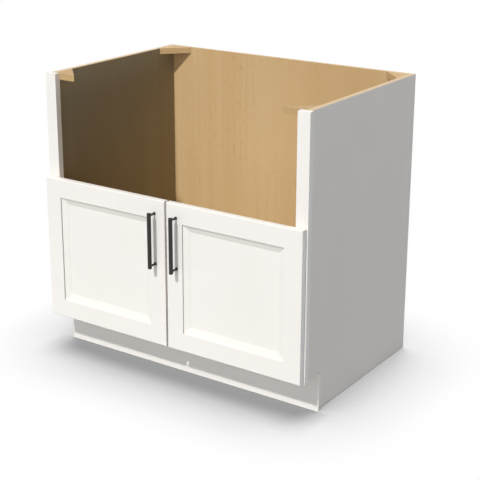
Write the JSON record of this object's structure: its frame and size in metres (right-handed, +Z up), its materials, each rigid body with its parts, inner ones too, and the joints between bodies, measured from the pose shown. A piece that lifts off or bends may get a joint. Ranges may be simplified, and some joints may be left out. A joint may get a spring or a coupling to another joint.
{
  "type": "sink base cabinet",
  "caption": "Framed sink base cabinet with an open apron bay, two hinged doors below it, corner blocks, a maple interior, a toe recess and bar handles.",
  "frame": {"origin": "on the floor, in the wall plane at the back, at the middle of the width", "axes": "+Y towards the wall, so the doors face -Y; +X along the wall to the right as seen from the front; +Z up"},
  "size_m": [0.9144, 0.6636, 0.8763],
  "materials": {
    "white_paint": "warm white satin paint on wood",
    "side_panel_finish": "warm white satin finish outside, maple veneer inside",
    "maple_interior": "clear-coated maple veneer, grain upright",
    "block_maple": "plain sanded maple",
    "plywood": "unfinished plywood",
    "black_metal": "matt black coating",
    "hinge_steel": "nickel-plated steel",
    "bumper": "clear soft plastic"
  },
  "bodies": {
    "carcass": {"left_side_panel": "side_panel_finish", "right_side_panel": "side_panel_finish", "back_panel": "maple_interior", "bottom_panel": "maple_interior", "toe_kick_board": "white_paint", "sub_base_board": "plywood", "deck_brace": "plywood", "left_face_stile": "white_paint", "right_face_stile": "white_paint", "bottom_face_rail": "white_paint", "middle_face_rail": "white_paint", "front_left_corner_block": "block_maple", "front_right_corner_block": "block_maple", "rear_left_corner_block": "block_maple", "rear_right_corner_block": "block_maple", "left_upper_hinge_arm": "hinge_steel", "left_lower_hinge_arm": "hinge_steel", "right_upper_hinge_arm": "hinge_steel", "right_lower_hinge_arm": "hinge_steel", "hinge_arm_screws": "hinge_steel"},
    "left_door": {"left_door_hinge_stile": "white_paint", "left_door_meeting_stile": "white_paint", "left_door_top_rail": "white_paint", "left_door_bottom_rail": "white_paint", "left_door_panel": "white_paint", "left_upper_hinge_cup": "hinge_steel", "left_lower_hinge_cup": "hinge_steel", "left_hinge_pins": "hinge_steel", "left_hinge_cup_screws": "hinge_steel", "left_handle_bar": "black_metal", "left_handle_posts": "black_metal", "left_handle_screws": "hinge_steel", "left_door_bumpers": "bumper"},
    "right_door": {"right_door_hinge_stile": "white_paint", "right_door_meeting_stile": "white_paint", "right_door_top_rail": "white_paint", "right_door_bottom_rail": "white_paint", "right_door_panel": "white_paint", "right_upper_hinge_cup": "hinge_steel", "right_lower_hinge_cup": "hinge_steel", "right_hinge_pins": "hinge_steel", "right_hinge_cup_screws": "hinge_steel", "right_handle_bar": "black_metal", "right_handle_posts": "black_metal", "right_handle_screws": "hinge_steel", "right_door_bumpers": "bumper"}
  },
  "joints": [
    {"name": "left_door_hinge", "type": "hinge", "parent": "carcass", "child": "left_door", "pos_m": [-0.4474, -0.6196, 0.34055], "axis": [0, 0, -1], "range_deg": [0, 105]},
    {"name": "right_door_hinge", "type": "hinge", "parent": "carcass", "child": "right_door", "pos_m": [0.4474, -0.6196, 0.34055], "axis": [0, 0, 1], "range_deg": [0, 105]}
  ]
}
